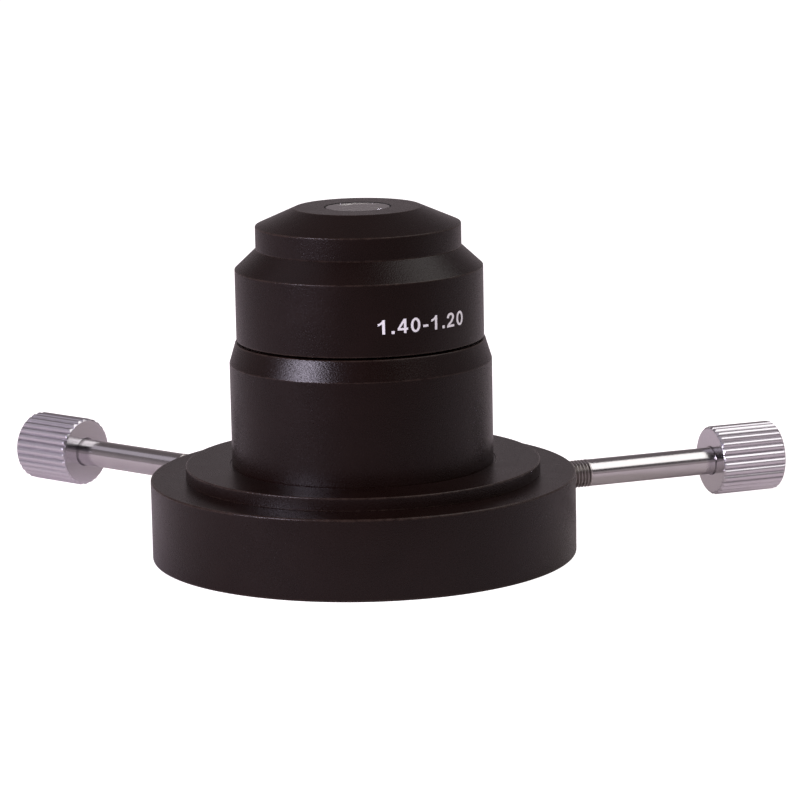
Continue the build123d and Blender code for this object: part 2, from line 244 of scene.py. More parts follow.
def lay_table():
    low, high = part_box("mount_ring")
    height = low.z - table_gap
    mesh = bpy.data.meshes.new("table_top")
    corners = [(-table_reach, -table_reach, height), (table_reach, -table_reach, height)]
    corners += [(table_reach, table_reach, height), (-table_reach, table_reach, height)]
    mesh.from_pydata(corners, [], [(0, 1, 2, 3)])
    material = bpy.data.materials.new("table_board")
    material.use_nodes = True
    material.node_tree.nodes.clear()
    tree = NodeTree(material.node_tree)
    seen = tree.add("ShaderNodeLightPath", out="Is Camera Ray")
    below = tree.add("ShaderNodeNewGeometry", out="Backfacing")
    place = tree.add("ShaderNodeTexCoord", out="Object")
    # Painted shade: for all but camera rays the board's colour darkens towards the camera.
    darker = ((tree.dot(place, to_camera) - dark_start) / dark_reach).clamped() * (1 - seen)
    board_colour = tree.mix(darker, table_grey, painted_front_shade)
    board = tree.add("ShaderNodeBsdfDiffuse", None, {"Color": board_colour})
    pale = tree.add("ShaderNodeEmission", None, {"Color": (1, 1, 1, 1), "Strength": pale_glow})
    lit = tree.add("ShaderNodeAddShader", None, {0: board, 1: pale})
    shown = tree.add("ShaderNodeMixShader", None, {0: seen, 1: board, 2: lit})
    clear = tree.add("ShaderNodeBsdfTransparent")
    across = tree.add("ShaderNodeVectorMath", {"operation": "MULTIPLY"}, {0: place, 1: (1, 1, 0)})
    reach = tree.length(across)
    outside_inlet = reach.math("GREATER_THAN", reach, clear_from)
    under_ring = outside_inlet * reach.math("LESS_THAN", reach, high.x - clear_inset)
    hidden = below.math("MAXIMUM", below, under_ring)
    surface = tree.add("ShaderNodeMixShader", None, {0: hidden, 1: shown, 2: clear})
    tree.add("ShaderNodeOutputMaterial", None, {"Surface": surface})
    mesh.materials.append(material)
    table = bpy.data.objects.new("table_top", mesh)
    bpy.context.scene.collection.objects.link(table)


lay_table()

# Mount ring: turned from aluminium bar, bead blasted and anodised black. It has two tapped
# holes for the centring screws, two notches in the bore for the bow spring, and clearance
# holes for the three clamp screws that hold the retainer plate in the seat below.
around = 360
edge_mark_reach = 0.25
longest_row = 1.0
closest_rows = 0.02
arc_step = radians(12)
sharp_angle = radians(28)


def box_mm(node):
    """Lowest and highest corner of a CAD node, in millimetres."""
    low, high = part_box(node)
    return low / mm, high / mm


def outline(corners, closed=True):
    """Rows of a lathe outline, anticlockwise, from corners of (radius, height, rounding).

    Each row is (radius, height, edge mark, length so far). The edge mark is 1 on a rounded
    outer corner and fades beside it: abraded anodising there, and a painted highlight along the
    rim. Long straight runs get rows between.
    """
    turns = []
    for i, (radius, height, rounding) in enumerate(corners):
        here = Vector((radius, height))
        before = Vector(corners[i - 1][:2]) - here
        after = Vector(corners[(i + 1) % len(corners)][:2]) - here
        end = not closed and i in (0, len(corners) - 1)
        if rounding == 0 or end:
            turns.append([(here, 0.0)])
            continue
        before.normalize()
        after.normalize()
        inside = before.angle(after)
        # A rounded outer corner carries the edge mark: abraded anodising and a painted highlight.
        outer = 1.0 if before.cross(after) < 0 else 0.0
        reach = rounding / tan(inside / 2)
        centre = here + (before + after).normalized() * rounding / sin(inside / 2)
        start = here + before * reach - centre
        finish = here + after * reach - centre
        sweep = atan2(start.cross(finish), start.dot(finish))
        steps = max(2, ceil(abs(sweep) / arc_step))
        spins = [Matrix.Rotation(sweep * k / steps, 2) for k in range(steps + 1)]
        turns.append([(centre + spin @ start, outer) for spin in spins])
    rows = []
    for i, turn in enumerate(turns):
        rows += turn
        following = turns[(i + 1) % len(turns)]
        if not closed and i == len(turns) - 1:
            break
        start = turn[-1][0]
        finish = following[0][0]
        run = (finish - start).length
        marks = set()
        if len(turn) > 1:
            marks.add(min(edge_mark_reach, run / 3))
        if len(following) > 1:
            marks.add(run - min(edge_mark_reach, run / 3))
        count = ceil(run / longest_row)
        marks |= {run * k / count for k in range(1, count)}
        kept = [m for m in sorted(marks) if closest_rows < m < run - closest_rows]
        rows += [(start.lerp(finish, m / run), 0.0) for m in kept]
    length = 0.0
    out = []
    for i, (point, wear_and_highlight) in enumerate(rows):
        if i:
            length += (point - rows[i - 1][0]).length
        out.append((point.x, point.y, wear_and_highlight, length))
    return out


def shade_smooth(mesh, angle=sharp_angle):
    """Shades a mesh smooth, but for edges sharper than that angle."""
    mesh.polygons.foreach_set("use_smooth", [True] * len(mesh.polygons))
    mesh.set_sharp_from_angle(angle=angle)


def turned(name, rows, closed=True, steps=around, place=None):
    """A mesh turned from lathe rows about Z, in metres, with the edge mark (abraded edge and painted highlight)
    and length as attributes.
    """
    points, faces, wear_and_highlight, along = [], [], [], []
    rings = []
    for radius, height, worn_and_highlit, length in rows:
        on_axis = radius < 1e-6
        ring = [len(points)] if on_axis else [len(points) + k for k in range(steps)]
        for k in range(len(ring)):
            turn = 2 * pi * k / steps
            points.append((radius * cos(turn) * mm, radius * sin(turn) * mm, height * mm))
        wear_and_highlight += [worn_and_highlit] * len(ring)
        along += [length] * len(ring)
        rings.append(ring)
    pairs = list(zip(rings, rings[1:])) + ([(rings[-1], rings[0])] if closed else [])
    for lower, upper in pairs:
        for k in range(steps):
            after = (k + 1) % steps
            corners = [lower[k % len(lower)], lower[after % len(lower)]]
            corners += [upper[after % len(upper)], upper[k % len(upper)]]
            faces.append(tuple(dict.fromkeys(corners)))
    mesh = bpy.data.meshes.new(name)
    mesh.from_pydata(points, [], faces)
    for label, numbers in (("wear_and_highlight", wear_and_highlight), ("along", along)):
        mesh.attributes.new(label, "FLOAT", "POINT").data.foreach_set("value", numbers)
    if place:
        mesh.transform(place)
    shade_smooth(mesh)
    piece = bpy.data.objects.new(name, mesh)
    bpy.context.scene.collection.objects.link(piece)
    return piece


def make_plain(piece):
    """Works the modifiers of a piece into a plain mesh."""
    graph = bpy.context.evaluated_depsgraph_get()
    worked = piece.evaluated_get(graph)
    mesh = bpy.data.meshes.new_from_object(worked, preserve_all_data_layers=True, depsgraph=graph)
    piece.modifiers.clear()
    piece.data = mesh
    shade_smooth(mesh)


def cut_out(piece, cutters):
    """Cuts the cutters out of a piece."""
    for cutter in cutters:
        bore = piece.modifiers.new("bore", "BOOLEAN")
        bore.object = cutter
        bore.solver = "EXACT"
    make_plain(piece)
    for cutter in cutters:
        bpy.data.objects.remove(cutter)


def drill(rows, place, steps=72):
    """A turned cutter from (radius, height) rows, put in place."""
    plain = [(radius, height, 0.0, 0.0) for radius, height in rows]
    return turned("drill", plain, closed=False, steps=steps, place=place)


def cylinder(radius, low, high):
    """Rows of a plain round cutter."""
    return [(0, low), (radius, low), (radius, high), (0, high)]


def finish_piece(piece, body, slot, material, *nodes):
    """Material and body of a finished piece, and the CAD nodes that it stands for. The slot is not used."""
    piece.data.materials.clear()
    piece.data.materials.append(material)
    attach(piece, body)
    if nodes:
        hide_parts(*nodes)


def new_material(name):
    """A material with nothing in it yet, and its tree."""
    material = bpy.data.materials.new(name)
    material.use_nodes = True
    material.node_tree.nodes.clear()
    return material, NodeTree(material.node_tree)


def grain(tree, place, size, detail=2.0, stretch=None):
    """Noise from 0 to 1 with grains of about that size in millimetres."""
    if stretch:
        place = tree.add("ShaderNodeMapping", None, {"Vector": place, "Scale": stretch})
    sockets = {"Vector": place, "Scale": 1 / (size * mm), "Detail": detail}
    return tree.add("ShaderNodeTexNoise", None, sockets)


def read_mark(tree, name):
    """A number that the mesh carries at each point."""
    return tree.add("ShaderNodeAttribute", {"attribute_name": name}, out="Fac")


def output_shader(tree, colour, roughness, height, depth, **constants):
    """The surface: what varies goes to colour, roughness and bump, the rest is constant."""
    relief = {"Height": height, "Distance": depth * mm, "Strength": 1.0}
    sockets = {"Base Color": colour, "Roughness": roughness}
    sockets["Normal"] = tree.add("ShaderNodeBump", None, relief)
    sockets.update({key.replace("_", " "): value for key, value in constants.items()})
    surface = tree.add("ShaderNodeBsdfPrincipled", None, sockets)
    tree.add("ShaderNodeOutputMaterial", None, {"Surface": surface})


def black_anodising():
    """Bead-blasted aluminium anodised black: a fine bright grain, and on rounded edges a brown mark that is partly
    abraded anodising and partly a painted highlight along the rims.
    """
    fresh = (0.0042, 0.0012, 0.0008, 1)
    faded = (0.0085, 0.0034, 0.0026, 1)
    rubbed_and_highlit = (0.075, 0.050, 0.040, 1)
    blast_size = 0.2
    blast_depth = 0.035
    patch_size = 6.0
    edge_mottle_size = 0.9
    satin = 0.25
    gloss = 0.24
    material, tree = new_material("black_anodising")
    place = tree.add("ShaderNodeTexCoord", out="Object")
    wear_and_highlight = read_mark(tree, "wear_and_highlight")
    blast = grain(tree, place, blast_size, 3.0)
    patches = grain(tree, place, patch_size, 3.0)
    edge_mottle = grain(tree, place, edge_mottle_size, 4.0)
    # Lighter brown on rounded outer edges: partly abraded anodising, partly a painted highlight along the rims.
    worn_and_highlit = (wear_and_highlight * 1.5 + edge_mottle * 2.0 - 1.85).clamped()
    colour = tree.mix(worn_and_highlit * 0.3, tree.mix(patches, fresh, faded), rubbed_and_highlit)
    roughness = satin + patches * 0.07 + (blast - 0.5) * 0.14 - worn_and_highlit * 0.06
    output_shader(tree, colour, roughness, blast, blast_depth, Specular_IOR_Level=gloss)
    return material


anodised = black_anodising()
ring_low, ring_high = box_mm("mount_ring")
seat_low, seat_high = box_mm("retainer_plate")
seat_clearance = 0.02
ring_radius = ring_high.x
ring_bore = 22.0
clamp_circle = 23.6
clamp_angles = [radians(90 + 120 * k) for k in range(3)]
bolt_hole = 0.85
screw_joint = {j["child"]: j for j in frame["joints"] if j["type"] == "hinge"}
screw_height = screw_joint["screw_right"]["pos_m"][2] / mm


def screw_direction(side):
    """Angle round the optical axis at which a centring screw leaves the ring."""
    inward = screw_joint["screw_" + side]["axis"]
    return atan2(-inward[1], -inward[0])


screw_turn = {side: screw_direction(side) for side in ("right", "left")}


def along_screw(side):
    """Places a piece that is turned about Z along the line of a centring screw."""
    raised = Matrix.Translation((0, 0, screw_height * mm))
    outward = Matrix.Rotation(screw_turn[side], 4, "Z")
    return raised @ outward @ Matrix.Rotation(radians(90), 4, "Y")


def at_angle(radius, angle):
    """Places a piece that is turned about Z upright, beside the optical axis."""
    return Matrix.Translation((radius * mm * cos(angle), radius * mm * sin(angle), 0))


def make_mount_ring():
    rim = 0.22
    corner = 0.08
    seat_radius = seat_high.x + seat_clearance
    profile = [
        (seat_radius, ring_low.z, corner),
        (ring_radius, ring_low.z, rim),
        (ring_radius, ring_high.z, rim),
        (ring_bore, ring_high.z, corner),
        (ring_bore, seat_high.z, corner),
        (seat_radius, seat_high.z, corner),
    ]
    ring = turned("mount_ring_turned", outline(profile))
    tapped = 2.05
    mouth = 0.12
    run_out = 3
    tap = [(0, ring_bore - run_out), (tapped, ring_bore - run_out), (tapped, ring_radius - mouth)]
    tap += [(tapped + 2 * mouth, ring_radius + mouth), (0, ring_radius + mouth)]
    cutters = [drill(tap, along_screw(side)) for side in screw_turn]
    through = cylinder(bolt_hole, seat_high.z - 1, ring_high.z + 1)
    cutters += [drill(through, at_angle(clamp_circle, angle), 32) for angle in clamp_angles]
    notch_radius = 0.95
    notch_depth = 0.3
    notch_half = 2.05
    notch_spread = 27
    notch_circle = ring_bore + notch_depth - notch_radius
    notch = cylinder(notch_radius, screw_height - notch_half, screw_height + notch_half)
    for turn in (-90 - notch_spread, -90 + notch_spread):
        cutters.append(drill(notch, at_angle(notch_circle, radians(turn)), 48))
    cut_out(ring, cutters)
    finish_piece(ring, "mount", "black_anodised", anodised, "mount_ring")


make_mount_ring()

# Carrier sleeve: the tube that goes up into the microscope's condenser carrier, turned in
# one with the flange under it and anodised with the ring. A low register under the flange
# centres it in the ring's bore, and the sleeve tapers in at its top.
sleeve_mount = [m for m in frame["record"]["mounts"] if m["name"] == "carrier_sleeve"][0]
sleeve_radius = sleeve_mount["dims"]["r_mm"]
sleeve_low, sleeve_high = box_mm("carrier_sleeve")


def make_carrier_sleeve():
    rim = 0.16
    corner = 0.06
    wall = 2.6
    register = sleeve_radius - wall
    taper_height = 2.95
    taper_width = 0.9
    taper_edge = 0.12
    groove_width = 0.35
    groove_depth = 0.12
    groove_edge = 0.09
    bolt_depth = 1.25
    flange = sleeve_high.x
    profile = [
        (register, sleeve_low.z, corner),
        (ring_bore - seat_clearance, sleeve_low.z, corner),
        (ring_bore - seat_clearance, ring_high.z, 0),
        (flange, ring_high.z, corner),
        (flange, 0, rim),
        (sleeve_radius + groove_width, 0, groove_edge),
        (sleeve_radius + groove_width, -groove_depth, 0),
        (sleeve_radius, -groove_depth, 0),
        (sleeve_radius, sleeve_high.z - taper_height, taper_edge),
        (sleeve_radius - taper_width, sleeve_high.z, rim),
        (register, sleeve_high.z, corner),
    ]
    sleeve = turned("carrier_sleeve_turned", outline(profile))
    blind = cylinder(bolt_hole, sleeve_low.z - 1, ring_high.z + bolt_depth)
    cut_out(sleeve, [drill(blind, at_angle(clamp_circle, angle), 32) for angle in clamp_angles])
    finish_piece(sleeve, "mount", "black_anodised", anodised, "carrier_sleeve")


make_carrier_sleeve()

# Bow spring, slip washer and thrust pads: small parts inside the ring that the solids
# already give in full. They keep their solids, with their facets joined and smoothed, and
# get the finish of spring strip and of turned brass.


def geometry_tree(name, inputs):
    """A geometry tree with inputs of those names and kinds, and its inputs as values."""
    group = bpy.data.node_groups.new(name, "GeometryNodeTree")
    for label, kind in {"Geometry": "Geometry", **inputs}.items():
        group.interface.new_socket(label, in_out="INPUT", socket_type="NodeSocket" + kind)
    group.interface.new_socket("Geometry", in_out="OUTPUT", socket_type="NodeSocketGeometry")
    tree = NodeTree(group)
    return tree, [tree.add("NodeGroupInput", out=label) for label in ("Geometry", *inputs)]


def set_inputs(modifier, **values):
    """Sets the named inputs of a geometry tree by the identifiers of their sockets."""
    for item in modifier.node_group.interface.items_tree:
        key = item.name.replace(" ", "_") if item.item_type == "SOCKET" else None
        if key in values and item.in_out == "INPUT":
            modifier[item.identifier] = values[key]


def joined_facets():
    """A geometry tree that joins loose facets and keeps only true edges sharp."""
    edge_angle = radians(30)
    tree, (loose, distance) = geometry_tree("joined_facets", {"Distance": "Float"})
    joined = tree.add("GeometryNodeMergeByDistance", None, {"Geometry": loose, "Distance": distance})
    smooth = tree.add("GeometryNodeSetShadeSmooth", None, {"Geometry": joined, "Shade Smooth": True})
    angle = tree.add("GeometryNodeInputMeshEdgeAngle", out="Unsigned Angle")
    sharp = angle.math("GREATER_THAN", angle, edge_angle)
    sockets = {"Geometry": smooth, "Selection": sharp, "Shade Smooth": False}
    edged = tree.add("GeometryNodeSetShadeSmooth", {"domain": "EDGE"}, sockets)
    tree.add("NodeGroupOutput", None, {"Geometry": edged})
    return tree.tree


def dress(node, material):
    """Joins the facets of a CAD node that stays, and gives it its finish."""
    piece = frame["nodes"][node]
    piece.data.materials.clear()
    piece.data.materials.append(material)
    smooth = piece.modifiers.new("joined_facets", "NODES")
    smooth.node_group = facets
    set_inputs(smooth, Distance=0.001 * mm)


def turned_metal(name, dark, light, dullness, line_size, line_depth):
    """Bare turned metal: fine lines from the tool, a little unevenness, duller in patches."""
    patch_size = 2.5
    material, tree = new_material(name)
    place = tree.add("ShaderNodeTexCoord", out="Object")
    lines = grain(tree, place, line_size, 2.0, (1, 1, 3))
    patches = grain(tree, place, patch_size, 3.0)
    colour = tree.mix((patches * 1.3 - 0.15).clamped(), dark, light)
    roughness = dullness + patches * 0.12 + (lines - 0.5) * 0.1
    output_shader(tree, colour, roughness, lines, line_depth, Metallic=1.0)
    return material


facets = joined_facets()
brass = turned_metal(
    "turned_brass",
    (0.60, 0.43, 0.18, 1),
    (0.74, 0.56, 0.27, 1),
    dullness=0.24,
    line_size=0.12,
    line_depth=0.006,
)
strip = turned_metal(
    "spring_strip",
    (0.30, 0.29, 0.30, 1),
    (0.46, 0.45, 0.46, 1),
    dullness=0.2,
    line_size=0.2,
    line_depth=0.004,
)
for node in ("slip_washer", "thrust_pad_right", "thrust_pad_left"):
    dress(node, brass)
dress("bow_spring", strip)

# Barrel: the tube that carries the head, with the collar that the two screws push. The
# annular stop sits in its foot under a threaded ring with two spanner slots. The tube and
# the ring are anodised, and the stop is a blackened brass disc.
barrel_low, barrel_high = box_mm("barrel")
barrel_radius = 14.0
barrel_bore = 12.0
stop_seat = 13.42


def make_barrel():
    edge = 0.15
    corner = 0.06
    collar_gap = 0.05
    stop_top = box_mm("annular_stop")[1].z
    collar_top = sleeve_low.z - collar_gap
    collar = barrel_high.x
    profile = [
        (stop_seat, barrel_low.z, corner),
        (collar, barrel_low.z, edge),
        (collar, collar_top, edge),
        (barrel_radius, collar_top, corner),
        (barrel_radius, barrel_high.z, corner),
        (barrel_bore, barrel_high.z, corner),
        (barrel_bore, stop_top, corner),
        (stop_seat, stop_top, corner),
    ]
    barrel = turned("barrel_turned", outline(profile), steps=240)
    finish_piece(barrel, "optical_head", "black_anodised", anodised, "barrel")


def matt_blacking():
    """Matt black lacquer of an optical stop, dusty and slightly mottled."""
    clean = (0.008, 0.008, 0.008, 1)
    dusty = (0.024, 0.022, 0.021, 1)
    dust_size = 0.25
    dust_depth = 0.012
    patch_size = 3.0
    material, tree = new_material("matt_blacking")
    place = tree.add("ShaderNodeTexCoord", out="Object")
    dust = grain(tree, place, dust_size, 4.0)
    patches = grain(tree, place, patch_size, 2.0)
    colour = tree.mix((dust * 1.5 - 0.4).clamped(), clean, dusty)
    output_shader(tree, colour, 0.62 + patches * 0.2, dust, dust_depth, Specular_IOR_Level=0.25)
    return material


make_barrel()
blacking = matt_blacking()
dress("annular_stop", blacking)
dress("stop_ring", anodised)

# Retainer plate: anodised aluminium, let into the foot of the ring, with three countersunk
# holes. Its bore lets the light in and is chamfered towards the lamp.
plate_bore = 13.9
bolt_head = 1.6


def make_retainer_plate():
    edge = 0.12
    corner = 0.05
    chamfer = 0.8
    sink_clearance = 0.05
    proud = 0.2
    profile = [
        (plate_bore + chamfer, seat_low.z, corner),
        (seat_high.x, seat_low.z, edge),
        (seat_high.x, seat_high.z, edge),
        (plate_bore, seat_high.z, corner),
        (plate_bore, seat_low.z + chamfer, corner),
    ]
    plate = turned("retainer_plate_turned", outline(profile), steps=240)
    head = bolt_head + sink_clearance
    sink = [(0, seat_low.z - proud), (head + proud, seat_low.z - proud)]
    sink += [(bolt_hole, seat_low.z + head - bolt_hole), (bolt_hole, seat_high.z + 1)]
    sink += [(0, seat_high.z + 1)]
    cut_out(plate, [drill(sink, at_angle(clamp_circle, angle), 48) for angle in clamp_angles])
    finish_piece(plate, "mount", "black_anodised", anodised, "retainer_plate")


make_retainer_plate()

# Clamp screws: three slotted countersunk screws of blackened steel, alike and evenly
# spaced, so one screw is turned and slotted, and a tree sets it round the plate.


def end_tree(tree, geometry, material):
    """Ends a geometry tree with real geometry in its material."""
    real = tree.add("GeometryNodeRealizeInstances", None, {"Geometry": geometry})
    painted = tree.add("GeometryNodeSetMaterial", None, {"Geometry": real, "Material": material})
    tree.add("NodeGroupOutput", None, {"Geometry": painted})


def round_the_plate():
    """A geometry tree that sets copies of a piece evenly round a circle."""
    inputs = {"Count": "Int", "Radius": "Float", "First Angle": "Float", "Slot Turn": "Float"}
    inputs["Material"] = "Material"
    tree, sockets = geometry_tree("round_the_plate", inputs)
    one, count, radius, first, slot_turn, material = sockets
    number = tree.add("GeometryNodeInputIndex")
    turn = first + number * (2 * pi) / count
    place = {"X": radius * turn.math("COSINE", turn), "Y": radius * turn.math("SINE", turn)}
    spot = tree.add("ShaderNodeCombineXYZ", None, place)
    points = tree.add("GeometryNodePoints", None, {"Count": count, "Position": spot})
    spin = tree.add("ShaderNodeCombineXYZ", None, {"Z": turn + number * slot_turn})
    copied = {"Points": points, "Instance": one, "Rotation": spin}
    end_tree(tree, tree.add("GeometryNodeInstanceOnPoints", None, copied), material)
    return tree.tree


def make_clamp_screws():
    low, high = box_mm("clamp_screws")
    shank = 0.8
    head_height = bolt_head - shank
    edge = 0.05
    point = 0.15
    profile = [
        (0, low.z, 0),
        (bolt_head, low.z, edge),
        (shank, low.z + head_height, edge),
        (shank, high.z, point),
        (0, high.z, 0),
    ]
    screw = turned("clamp_screws_slotted", outline(profile, closed=False), closed=False, steps=48)
    slot_half = 0.2
    slot_depth = 0.35
    mesh = bpy.data.meshes.new("slot")
    slot = bpy.data.objects.new("slot", mesh)
    bpy.context.scene.collection.objects.link(slot)
    shape = bmesh.new()
    size = Matrix.Diagonal((4 * bolt_head * mm, 2 * slot_half * mm, 2 * slot_depth * mm, 1))
    bmesh.ops.create_cube(shape, size=1.0, matrix=Matrix.Translation((0, 0, low.z * mm)) @ size)
    shape.to_mesh(mesh)
    shape.free()
    cut_out(screw, [slot])
    blued = turned_metal(
        "blued_steel",
        (0.045, 0.042, 0.045, 1),
        (0.10, 0.095, 0.10, 1),
        dullness=0.3,
        line_size=0.12,
        line_depth=0.006,
    )
    pattern = screw.modifiers.new("round_the_plate", "NODES")
    pattern.node_group = round_the_plate()
    set_inputs(pattern, Count=len(clamp_angles), Radius=clamp_circle * mm, Slot_Turn=0.7)
    set_inputs(pattern, First_Angle=clamp_angles[0], Material=blued)
    make_plain(screw)
    finish_piece(screw, "mount", "blued_steel", blued, "clamp_screws")


make_clamp_screws()

# Head: the housing above the sleeve, turned and anodised like it, screwed onto the barrel.
# A slope leads up to the lens cell, and the range of apertures is printed on its side in
# white.
head_low, head_high = box_mm("head")
cell_radius = box_mm("lens_cell")[1].x
cell_skirt = 13.05
wall_height = 10.0


def make_head():
    corner = 0.06
    foot_edge = 0.12
    wall_edge = 0.14
    slope_edge = 0.05
    land_height = 1.4
    land_width = 2.0
    land_low = barrel_high.z
    land_high = land_low + land_height
    land_radius = cell_skirt - land_width
    barrel_seat = barrel_radius + seat_clearance
    skirt_seat = cell_skirt + seat_clearance
    profile = [
        (barrel_seat, head_low.z, corner),
        (head_high.x, head_low.z, foot_edge),
        (head_high.x, head_low.z + wall_height, wall_edge),
        (cell_radius, head_high.z, slope_edge),
        (skirt_seat, head_high.z, corner),
        (skirt_seat, land_high, corner),
        (land_radius, land_high, corner),
        (land_radius, land_low, corner),
        (barrel_seat, land_low, corner),
    ]
    head = turned("head_turned", outline(profile))
    finish_piece(head, "optical_head", "black_anodised", anodised, "head")


def white_print():
    """Screen-printed white paint, thin and a little uneven."""
    thin = (0.78, 0.77, 0.82, 1)
    full = (0.94, 0.94, 0.98, 1)
    spot_size = 0.12
    spot_depth = 0.008
    material, tree = new_material("white_print")
    place = tree.add("ShaderNodeTexCoord", out="Object")
    spots = grain(tree, place, spot_size, 3.0)
    colour = tree.mix((spots * 2.4 - 0.9).clamped(), thin, full)
    output_shader(tree, colour, 0.5 + spots * 0.15, spots, spot_depth, Specular_IOR_Level=0.4)
    return material


def bend(x, y, half_width, half_height, start, finish, steps=16):
    """Points of an arc of an ellipse, with its angles in degrees."""
    turns = [radians(start + (finish - start) * k / steps) for k in range(steps + 1)]
    return [(x + half_width * cos(turn), y + half_height * sin(turn)) for turn in turns]


def figure_shapes():
    """Width and outlines of each figure, in parts of the figures' height."""
    wide = 0.74
    one = [(0.52, 1), (0.38, 1), (0.31, 0.89), (0.18, 0.79), (0.04, 0.74), (0.04, 0.58), (0.19, 0.63)]
    one += [(0.33, 0.72), (0.33, 0), (0.52, 0)]
    four = [(0.42, 1), (0.61, 1), (0.61, 0.37), (0.73, 0.37), (0.73, 0.21), (0.61, 0.21), (0.61, 0)]
    four += [(0.43, 0), (0.43, 0.21), (0, 0.21), (0, 0.36)]
    two = [(0, 0), (0.70, 0), (0.70, 0.17), (0.28, 0.17), (0.50, 0.34)]
    two += bend(0.35, 0.70, 0.34, 0.31, -22, 188)
    two += bend(0.35, 0.69, 0.15, 0.15, 200, -28)
    two += [(0.34, 0.43), (0.10, 0.24), (0.01, 0.10)]
    nought = bend(0.36, 0.5, 0.35, 0.51, 0, 345, 23)
    hole = bend(0.36, 0.5, 0.165, 0.345, 0, 345, 23)
    return {
        "1": (wide, [one]),
        "2": (wide, [two]),
        "4": (wide, [four, [(0.43, 0.37), (0.18, 0.37), (0.43, 0.73)]]),
        "0": (wide, [nought, hole]),
        "-": (0.42, [[(0, 0.28), (0.40, 0.28), (0.40, 0.45), (0, 0.45)]]),
        ".": (0.28, [[(0.04, 0), (0.25, 0), (0.25, 0.2), (0.04, 0.2)]]),
    }


def flat_figures(words, gap):
    """A flat mesh of the figures, one unit high, and its length."""
    curve = bpy.data.curves.new("figures", "CURVE")
    curve.dimensions = "2D"
    curve.fill_mode = "BOTH"
    shapes = figure_shapes()
    left = 0.0
    for letter in words:
        width, loops = shapes[letter]
        for loop in loops:
            spline = curve.splines.new("POLY")
            spline.points.add(len(loop) - 1)
            for point, (x, y) in zip(spline.points, loop):
                point.co = (left + x, y, 0, 1)
            spline.use_cyclic_u = True
        left += width + gap
    text = bpy.data.objects.new("figures", curve)
    bpy.context.scene.collection.objects.link(text)
    graph = bpy.context.evaluated_depsgraph_get()
    flat = bpy.data.meshes.new_from_object(text.evaluated_get(graph))
    bpy.data.objects.remove(text)
    return flat, left - gap


def make_figures():
    """Plain figures wrapped round the side of the head."""
    height = 1.98
    stretch = 1.05
    gap = 0.18
    base_line = head_low.z + 3.18
    arc_start = 7.6
    proud = 0.012
    slices = 160
    flat, length = flat_figures("1.40-1.20", gap)
    shape = bmesh.new()
    shape.from_mesh(flat)
    bmesh.ops.remove_doubles(shape, verts=shape.verts, dist=1e-5)
    for k in range(1, slices):
        whole = shape.verts[:] + shape.edges[:] + shape.faces[:]
        bmesh.ops.bisect_plane(shape, geom=whole, plane_co=(length * k / slices, 0, 0), plane_no=(1, 0, 0))
    radius = head_high.x + proud
    start = camera_azimuth - radians(90 - arc_start)
    for vert in shape.verts:
        turn = start + vert.co.x * height * stretch / radius
        vert.co = Vector((radius * cos(turn), radius * sin(turn), base_line + vert.co.y * height)) * mm
    shape.normal_update()
    for face in shape.faces:
        if face.normal.dot(face.calc_center_median()) < 0:
            face.normal_flip()
    mesh = bpy.data.meshes.new("aperture_figures")
    shape.to_mesh(mesh)
    shape.free()
    figures = bpy.data.objects.new("aperture_figures", mesh)
    bpy.context.scene.collection.objects.link(figures)
    finish_piece(figures, "optical_head", "black_anodised", white_print())


make_head()
make_figures()

# Lens cell: nose and cone in one turning with a threaded skirt that screws down into the
# head. It holds the glass from above, is anodised like the head, and has a ring of black
# cement in its mouth.
cell_low, cell_high = box_mm("lens_cell")
glass_low, glass_high = box_mm("front_lens")
cement = 0.05
lens_top_radius = 4.5
lens_rim_radius = glass_high.x
lens_top_height = 0.6
lens_rim_height = 1.2
side_bulge = 0.9
side_points = 24


def arc_through(start, finish, bulge, count):
    """Points of a round stretch between two points, bulging to its right by bulge."""
    start, finish = Vector(start), Vector(finish)
    chord = finish - start
    half = chord.length / 2
    radius = (half**2 + bulge**2) / (2 * bulge)
    out = Vector((chord.y, -chord.x)).normalized()
    centre = (start + finish) / 2 - out * (radius - bulge)
    first = start - centre
    last = finish - centre
    sweep = atan2(first.cross(last), first.dot(last))
    return [centre + Matrix.Rotation(sweep * k / count, 2) @ first for k in range(count + 1)]


side_foot = (lens_rim_radius, glass_low.z + lens_rim_height)
side_head = (lens_top_radius, glass_high.z - lens_top_height)


def plain_corners(points):
    """Outline corners without rounding at those points."""
    return [(point.x, point.y, 0) for point in points]


def make_lens_cell():
    corner = 0.06
    nose_edge = 0.14
    top_edge = 0.16
    mouth = 0.16
    nose_wall = 3.2
    land = 4.4
    cell_seat = head_high.z
    throat = lens_top_radius + cement
    gap = Vector((cement, cement))
    seat = [point + gap for point in arc_through(side_foot, side_head, side_bulge, side_points)]
    profile = [
        (lens_rim_radius + cement, cell_low.z, corner),
        (cell_skirt, cell_low.z, corner),
        (cell_skirt, cell_seat, corner),
        (cell_radius, cell_seat, corner),
        (cell_radius, cell_seat + nose_wall, nose_edge),
        (lens_top_radius + land, cell_high.z, top_edge),
        (throat + mouth, cell_high.z, 0),
        (throat, cell_high.z - mouth, 0),
        *plain_corners(reversed(seat)),
    ]
    cell = turned("lens_cell_turned", outline(profile))
    finish_piece(cell, "optical_head", "black_anodised", anodised, "lens_cell")
    cell.data.materials.append(blacking)
    for face in cell.data.polygons:
        centre = face.center / mm
        if centre.z > cell_high.z - 2 * mouth and centre.xy.length < throat + mouth:
            face.material_index = 1


make_lens_cell()

# Glass: a front element with a flat top that the oil wets and a curved side, and under it
# an element with a small dome. The curved side and the dome are silvered, so that they
# throw a hollow cone of light, and the flats are polished.
mirror_radius = 3.4
mirror_rise = 1.1
mirror_height = 2.95


